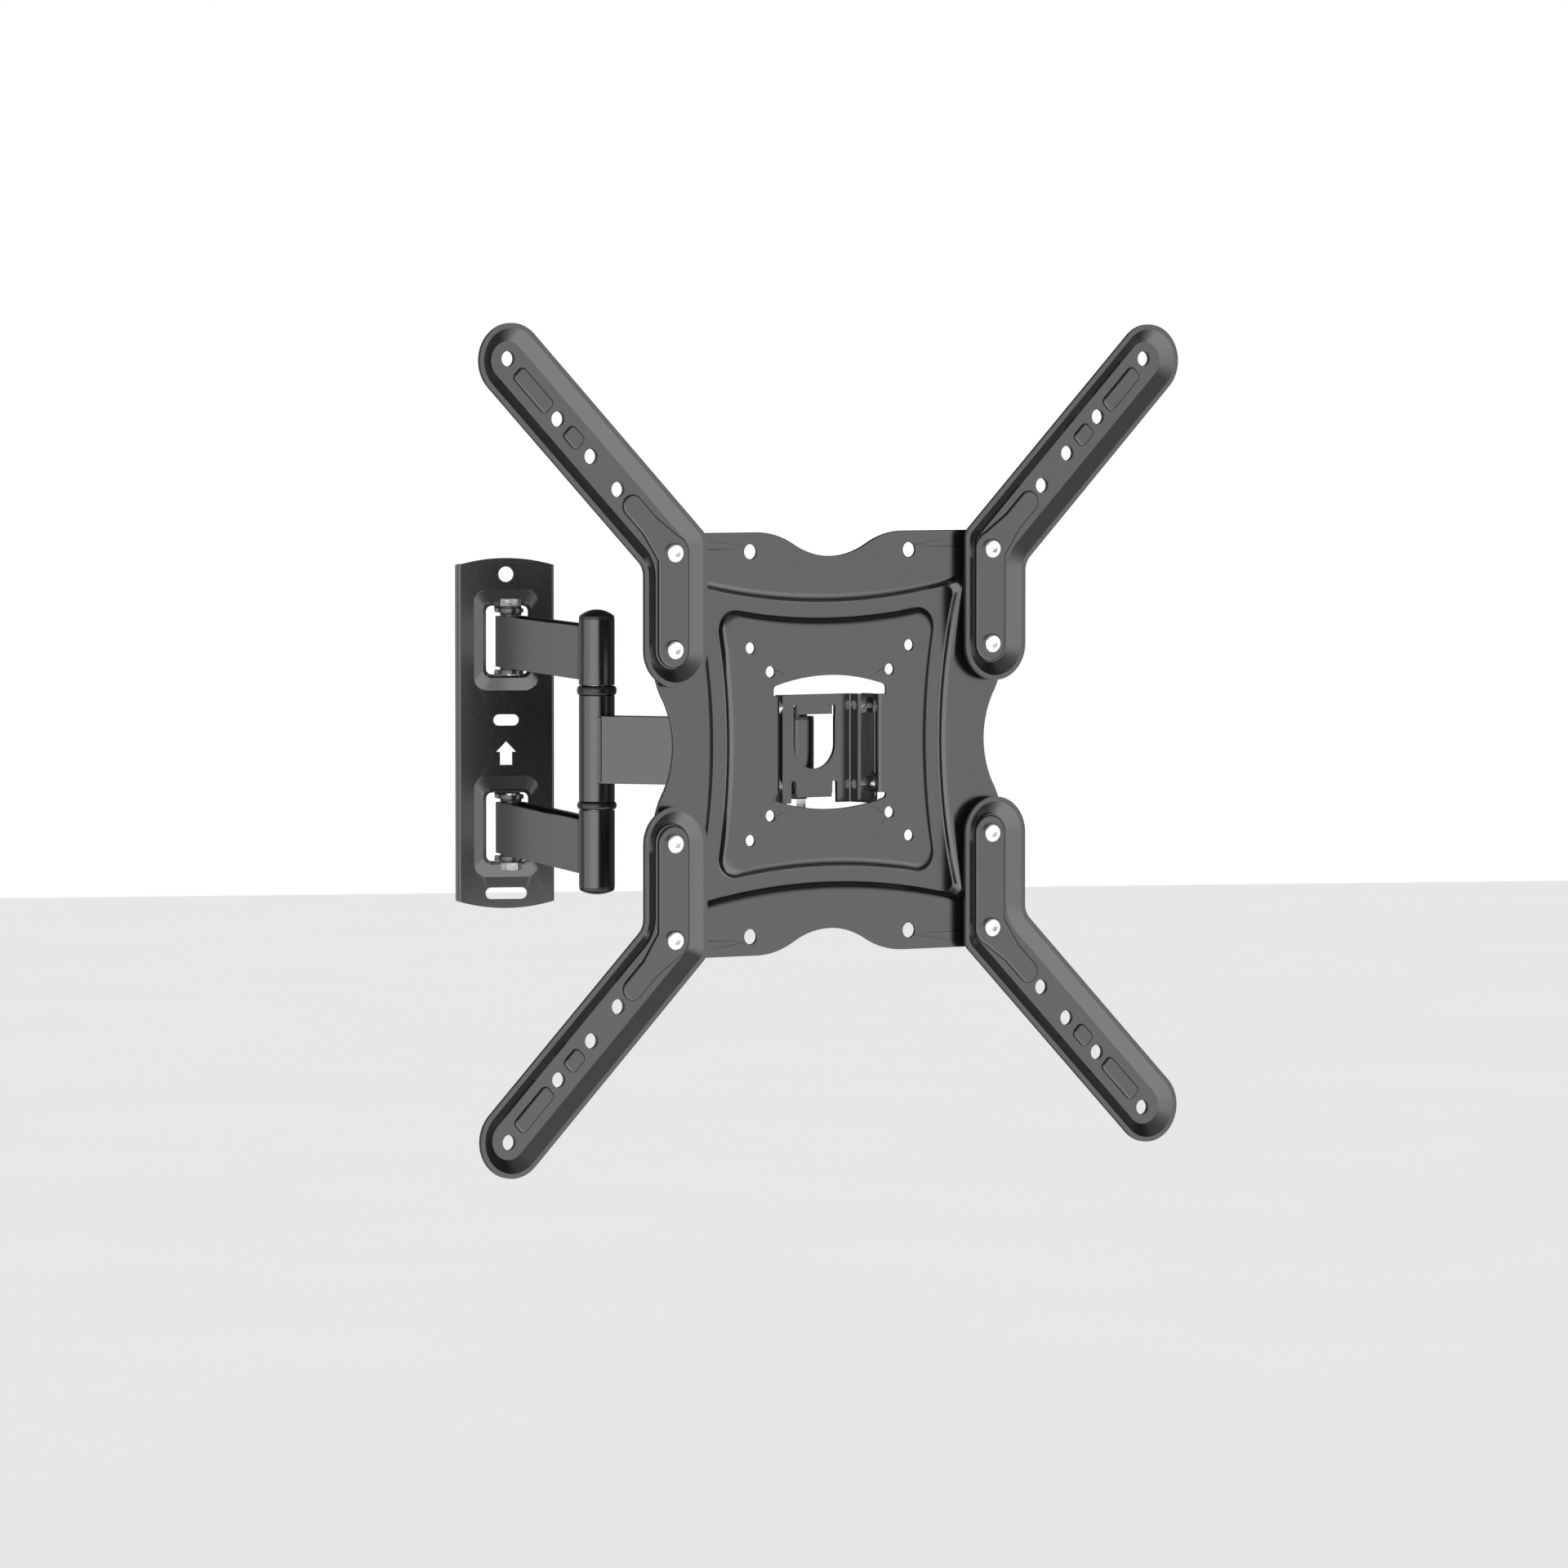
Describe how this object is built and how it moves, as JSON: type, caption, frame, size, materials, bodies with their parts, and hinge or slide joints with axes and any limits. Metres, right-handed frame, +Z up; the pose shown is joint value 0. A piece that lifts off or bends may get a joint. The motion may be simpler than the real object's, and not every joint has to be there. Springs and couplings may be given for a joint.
{
  "type": "television wall mount",
  "caption": "Full motion television wall mount: narrow wall plate, paired swing arms, elbow, single front arm, tilting swivel head and square screen plate with bent extension arms.",
  "frame": {"origin": "upper wall screw hole's centre, on the back face of the wall plate's sheet, 8 mm in front of the wall", "axes": "+Z up, the wall lies behind at y = +0.008 m, -Y points from the wall into the room, +X to the right of someone facing the wall"},
  "size_m": [0.4054, 0.4212, 0.4364],
  "materials": {
    "black_paint": "smooth semi-gloss black powder coat",
    "zinc_plate": "bright zinc plated steel",
    "black_nylon": "satin moulded nylon"
  },
  "bodies": {
    "wall": {"wall_plate": "black_paint", "shoulder_bolts": "zinc_plate", "shoulder_washers": "black_nylon"},
    "wall_arms": {"upper_wall_arm": "black_paint", "lower_wall_arm": "black_paint", "arm_pivot_bushes": "black_nylon", "upper_elbow_tube": "black_paint", "lower_elbow_tube": "black_paint", "elbow_tube_plugs": "zinc_plate", "elbow_bolt": "zinc_plate", "elbow_nut": "zinc_plate", "elbow_top_cap": "black_nylon", "elbow_bottom_cap": "black_nylon"},
    "front_arm": {"front_arm": "black_paint", "middle_elbow_tube": "black_paint", "upper_elbow_bush": "black_nylon", "lower_elbow_bush": "black_nylon", "upper_swivel_bush": "black_nylon", "lower_swivel_bush": "black_nylon"},
    "head": {"swivel_bracket": "black_paint", "swivel_bolt": "zinc_plate", "swivel_nut": "zinc_plate", "swivel_washers": "black_nylon", "tilt_bolts": "zinc_plate", "tilt_nuts": "zinc_plate", "tilt_washers": "zinc_plate"},
    "screen": {"screen_plate": "black_paint", "ext_arm_top_left": "black_paint", "ext_arm_top_right": "black_paint", "ext_arm_bottom_left": "black_paint", "ext_arm_bottom_right": "black_paint", "arm_screws": "zinc_plate", "arm_nuts": "zinc_plate"}
  },
  "joints": [
    {"name": "shoulder_swing", "type": "hinge", "parent": "wall", "child": "wall_arms", "pos_m": [0, -0.018, -0.088], "axis": [0, 0, 1], "range_deg": [-78, 72]},
    {"name": "elbow_fold", "type": "hinge", "parent": "wall_arms", "child": "front_arm", "pos_m": [0.01117, -0.23121, -0.088], "axis": [0, 0, 1], "range_deg": [-144.7, 35.3]},
    {"name": "head_swivel", "type": "hinge", "parent": "front_arm", "child": "head", "pos_m": [0.10669, -0.29159, -0.088], "axis": [0, 0, 1], "range_deg": [-15.2, 84.8]},
    {"name": "head_tilt", "type": "hinge", "parent": "head", "child": "screen", "pos_m": [0.11467, -0.31047, -0.0623], "axis": [0.9212, 0.3891, 0], "range_deg": [-7, 6]}
  ]
}
